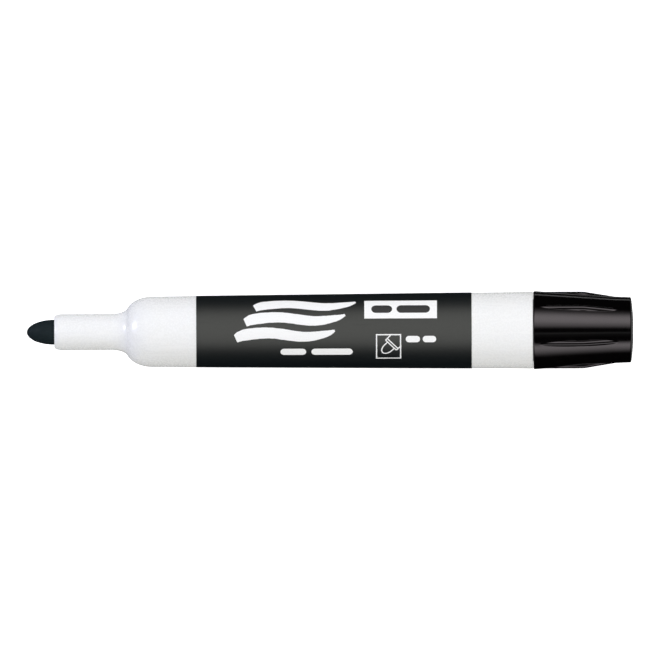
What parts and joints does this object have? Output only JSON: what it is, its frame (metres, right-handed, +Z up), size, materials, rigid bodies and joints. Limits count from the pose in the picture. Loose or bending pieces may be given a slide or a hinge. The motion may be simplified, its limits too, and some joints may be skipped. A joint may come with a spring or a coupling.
{
  "type": "whiteboard marker",
  "caption": "Whiteboard marker with a bullet nib, a slightly tapered barrel under a printed film sleeve, and a ribbed push-on cap posted on its rear end.",
  "frame": {"origin": "under the middle of the marker's whole length with its cap posted, on the surface it lies on", "axes": "+X along the marker from the nib to the cap's closed end, +Z up through the middle of the printed face, +Y to the left of +X"},
  "size_m": [0.1394, 0.018, 0.018],
  "materials": {
    "barrel_plastic": "white moulded polypropylene, soft gloss with faint moulding grain",
    "label_film": "black satin film, broad soft highlight",
    "label_print": "opaque white ink printed on the film",
    "nib_fibre": "bonded polyester fibre soaked in black ink",
    "reservoir_fibre": "loose polyester fibre bundle full of ink",
    "wrap_film": "thin translucent film",
    "plug_plastic": "black moulded polypropylene, satin",
    "cap_plastic": "black moulded polypropylene, gloss",
    "liner_plastic": "natural moulded polypropylene, satin"
  },
  "bodies": {
    "marker_body": {"barrel": "barrel_plastic", "label_sleeve": "label_film", "nib": "nib_fibre", "ink_reservoir": "reservoir_fibre", "reservoir_wrap": "wrap_film", "rear_plug": "plug_plastic"},
    "cap_core": {"cap_liner": "liner_plastic"},
    "cap": {"cap_shell": "cap_plastic"}
  },
  "joints": [
    {"name": "cap_pull", "type": "slide", "parent": "marker_body", "child": "cap_core", "axis": [1, 0, 0], "range_m": [0, 0.03]},
    {"name": "cap_twist", "type": "hinge", "parent": "cap_core", "child": "cap", "pos_m": [0.0468, 0, 0.009], "axis": [1, 0, 0], "continuous": true}
  ]
}
